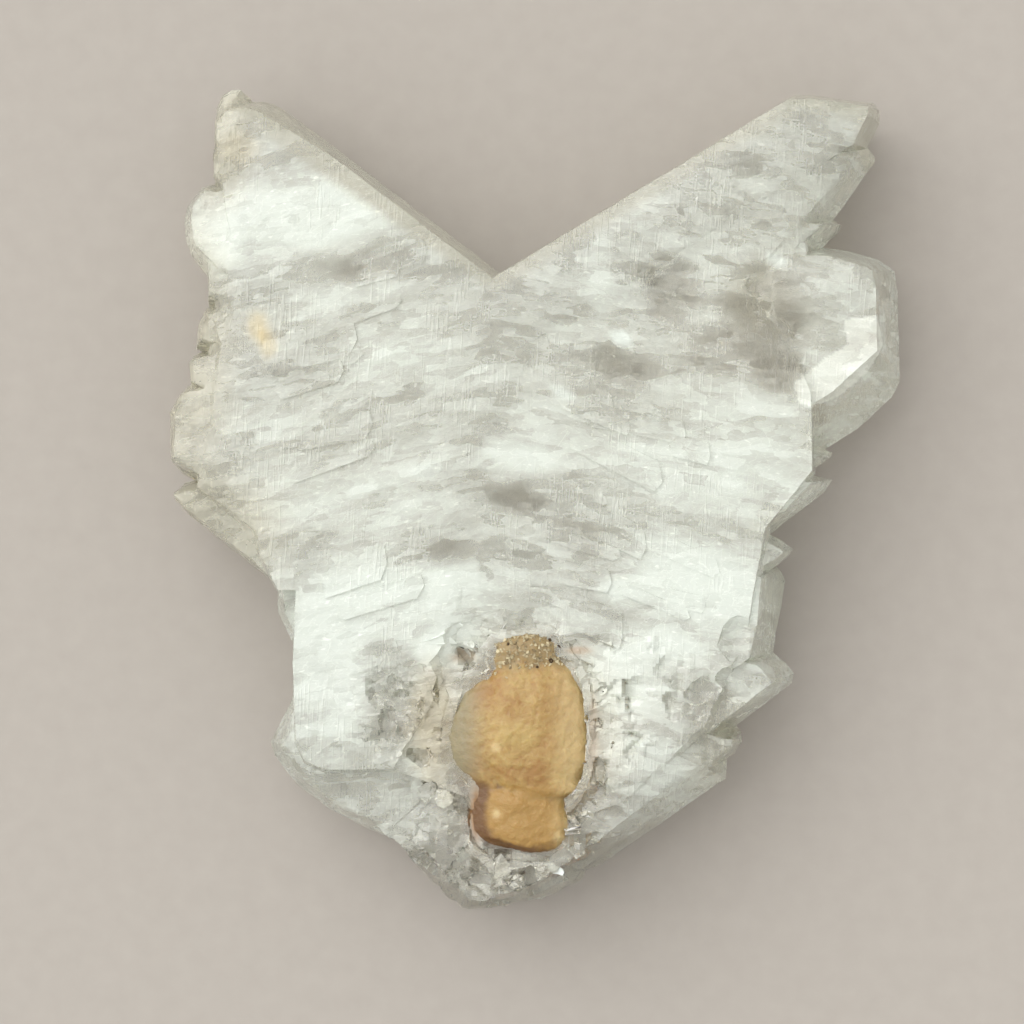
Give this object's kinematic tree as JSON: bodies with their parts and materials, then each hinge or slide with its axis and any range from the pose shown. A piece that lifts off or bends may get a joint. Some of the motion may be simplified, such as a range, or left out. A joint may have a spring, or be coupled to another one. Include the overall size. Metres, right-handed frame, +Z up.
{
  "type": "fishtail selenite",
  "caption": "Flat twinned selenite crystal with a V notch, saw-toothed flanks and a side crystal, holding a honey calcite lump in a crushed pocket.",
  "frame": {"origin": "middle of the base, on the surface that the crystal lies on", "axes": "+Y along the twin axis towards the notch, +X to the right wing, +Z up, square to the broad face"},
  "size_m": [0.0732, 0.0826, 0.0171],
  "materials": {
    "selenite": "clear to milky, glossy faces and frosted flanks",
    "honey_calcite": "waxy, sugary"
  },
  "bodies": {
    "root": {"selenite_twin": "selenite", "honey_calcite_lump": "honey_calcite"}
  },
  "joints": []
}
